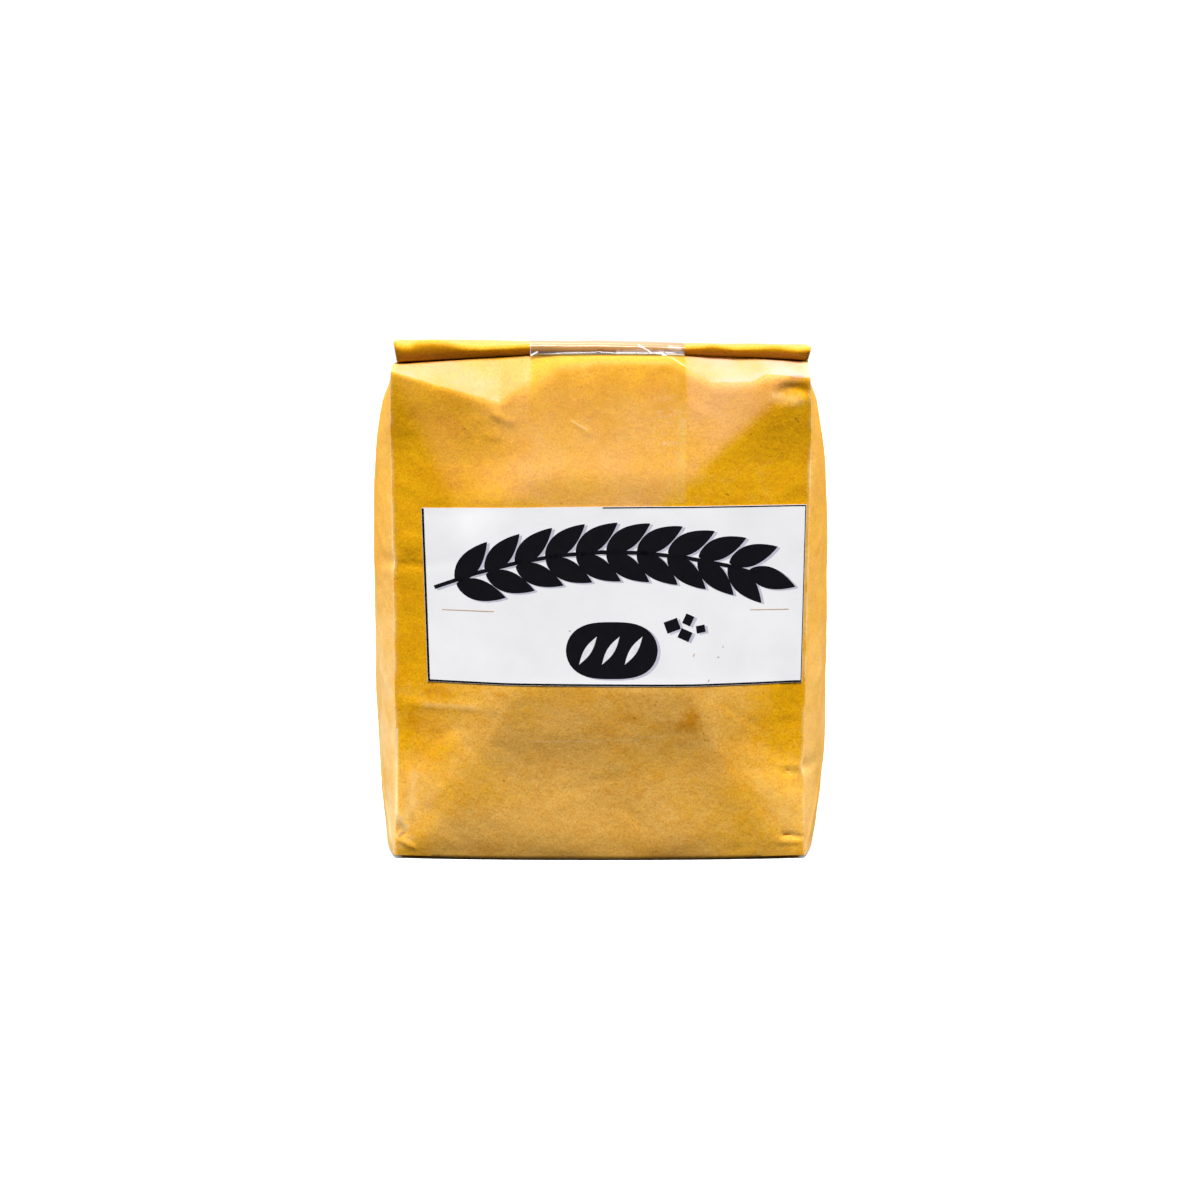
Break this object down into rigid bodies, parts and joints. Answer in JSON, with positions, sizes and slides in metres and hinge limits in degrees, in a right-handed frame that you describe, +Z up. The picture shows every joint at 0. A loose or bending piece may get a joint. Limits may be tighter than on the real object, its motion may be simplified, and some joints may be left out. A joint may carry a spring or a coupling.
{
  "type": "paper bag of breadcrumbs",
  "caption": "Full, block-bottom kraft paper bag with gusseted sides, its folded-over top held down by a clear tape, and a white paper label on the front.",
  "frame": {"origin": "middle of the overall box's lower face, on the floor", "axes": "+Z up, -Y out of the front with the label, +X to the right for somebody who looks at the front"},
  "size_m": [0.1802, 0.0865, 0.1997],
  "materials": {
    "kraft_paper": "satin kraft paper",
    "label_paper": "coated white label paper",
    "clear_tape": "clear glossy tape"
  },
  "bodies": {
    "root": {"bag": "kraft_paper", "label": "label_paper", "tape": "clear_tape"}
  },
  "joints": []
}
